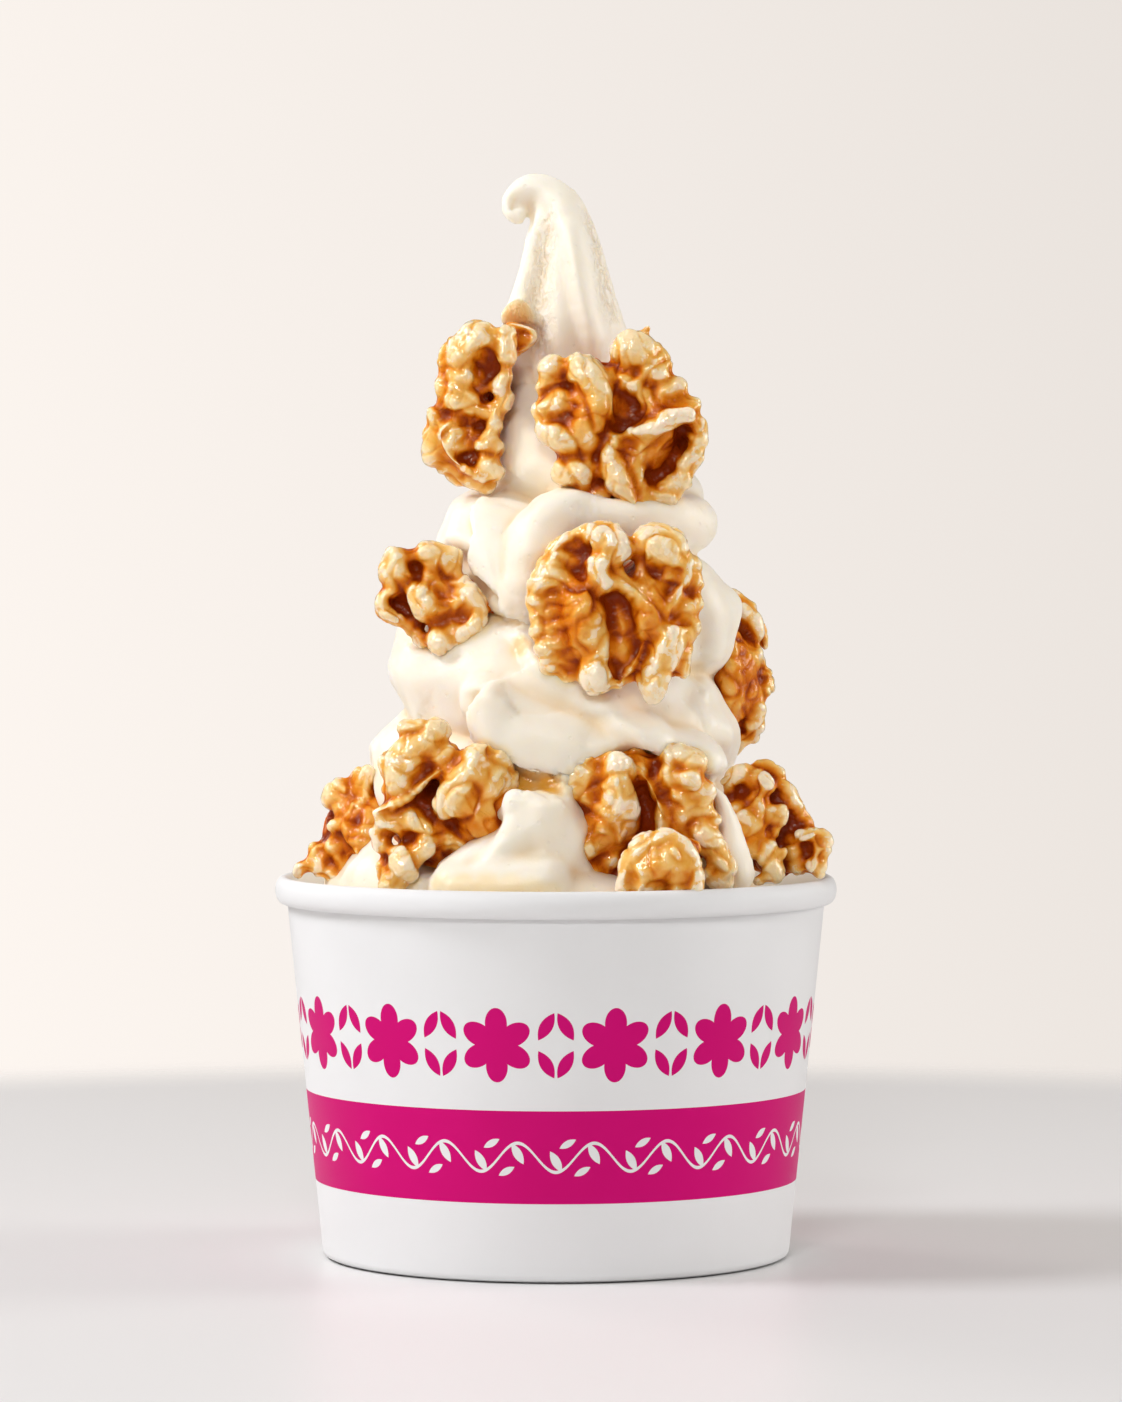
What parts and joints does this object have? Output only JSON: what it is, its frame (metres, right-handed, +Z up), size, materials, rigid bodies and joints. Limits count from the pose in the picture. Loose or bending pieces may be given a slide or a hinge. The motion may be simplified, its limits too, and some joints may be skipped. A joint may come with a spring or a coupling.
{
  "type": "frozen yogurt cup",
  "caption": "Round paper cup of soft frozen yogurt, coiled high above its rolled rim, with glazed walnut halves pressed into the coil.",
  "frame": {"origin": "on the cup's axis, at the level that the cup stands on", "axes": "+Z up along the cup's axis, towards the coil's tip; -Y is the front, with +X to the right seen from there"},
  "size_m": [0.0918, 0.0918, 0.1779],
  "materials": {
    "printed_board": "satin white coated board with a magenta band",
    "board": "satin white coated board",
    "yogurt": "soft sheen, cream white",
    "glazed_walnut": "wet caramel glaze over pale walnut"
  },
  "bodies": {
    "root": {"cup_wall": "printed_board", "cup_base": "board", "yogurt": "yogurt", "walnut_01": "glazed_walnut", "walnut_02": "glazed_walnut", "walnut_03": "glazed_walnut", "walnut_04": "glazed_walnut", "walnut_05": "glazed_walnut", "walnut_06": "glazed_walnut", "walnut_07": "glazed_walnut", "walnut_08": "glazed_walnut", "walnut_09": "glazed_walnut", "walnut_10": "glazed_walnut", "walnut_11": "glazed_walnut", "walnut_12": "glazed_walnut", "walnut_13": "glazed_walnut", "walnut_14": "glazed_walnut"}
  },
  "joints": []
}
